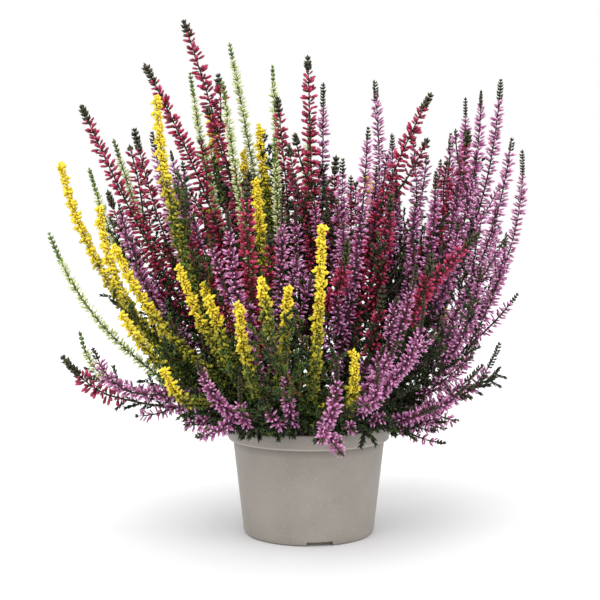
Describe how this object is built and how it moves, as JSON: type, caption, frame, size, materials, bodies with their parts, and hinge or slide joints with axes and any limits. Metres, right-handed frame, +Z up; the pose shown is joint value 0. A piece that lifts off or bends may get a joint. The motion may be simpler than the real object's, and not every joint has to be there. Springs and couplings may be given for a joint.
{
  "type": "potted heather",
  "caption": "Mixed planting of crimson, pink, white and yellow-leaved heather spikes growing from a round plastic plant pot.",
  "frame": {"origin": "on the pot's axis at the floor, under its foot ring", "axes": "+Z up; -Y towards the viewer of the front; +X to the viewer's right"},
  "size_m": [0.3829, 0.3003, 0.406],
  "materials": {
    "pot": "matte",
    "soil": "matte",
    "pink_heather": "matte",
    "crimson_heather": "matte",
    "yellow_heather": "matte",
    "white_heather": "matte"
  },
  "bodies": {
    "root": {"crimson_spray_01": "crimson_heather", "crimson_spray_02": "crimson_heather", "crimson_spray_03": "crimson_heather", "crimson_spray_04": "crimson_heather", "crimson_spray_05": "crimson_heather", "crimson_spray_06": "crimson_heather", "crimson_spray_07": "crimson_heather", "crimson_spray_08": "crimson_heather", "crimson_spray_09": "crimson_heather", "crimson_spray_10": "crimson_heather", "crimson_spray_11": "crimson_heather", "crimson_spray_12": "crimson_heather", "crimson_spray_13": "crimson_heather", "pink_spray_01": "pink_heather", "pink_spray_02": "pink_heather", "pink_spray_03": "pink_heather", "pink_spray_04": "pink_heather", "pink_spray_05": "pink_heather", "pink_spray_06": "pink_heather", "pink_spray_07": "pink_heather", "pink_spray_08": "pink_heather", "pink_spray_09": "pink_heather", "pink_spray_10": "pink_heather", "pink_spray_11": "pink_heather", "pink_spray_12": "pink_heather", "pink_spray_13": "pink_heather", "pink_spray_14": "pink_heather", "pink_spray_15": "pink_heather", "pink_spray_16": "pink_heather", "pink_spray_17": "pink_heather", "pink_spray_18": "pink_heather", "pink_spray_19": "pink_heather", "pink_spray_20": "pink_heather", "pink_spray_21": "pink_heather", "pink_spray_22": "pink_heather", "pink_spray_23": "pink_heather", "pink_spray_24": "pink_heather", "pink_spray_25": "pink_heather", "pot": "pot", "soil": "soil", "white_spray_01": "white_heather", "white_spray_02": "white_heather", "white_spray_03": "white_heather", "white_spray_04": "white_heather", "white_spray_05": "white_heather", "white_spray_06": "white_heather", "white_spray_07": "white_heather", "yellow_spray_01": "yellow_heather", "yellow_spray_02": "yellow_heather", "yellow_spray_03": "yellow_heather", "yellow_spray_04": "yellow_heather", "yellow_spray_05": "yellow_heather", "yellow_spray_06": "yellow_heather", "yellow_spray_07": "yellow_heather", "yellow_spray_08": "yellow_heather", "yellow_spray_09": "yellow_heather", "yellow_spray_10": "yellow_heather", "yellow_spray_11": "yellow_heather", "yellow_spray_12": "yellow_heather"}
  },
  "joints": []
}
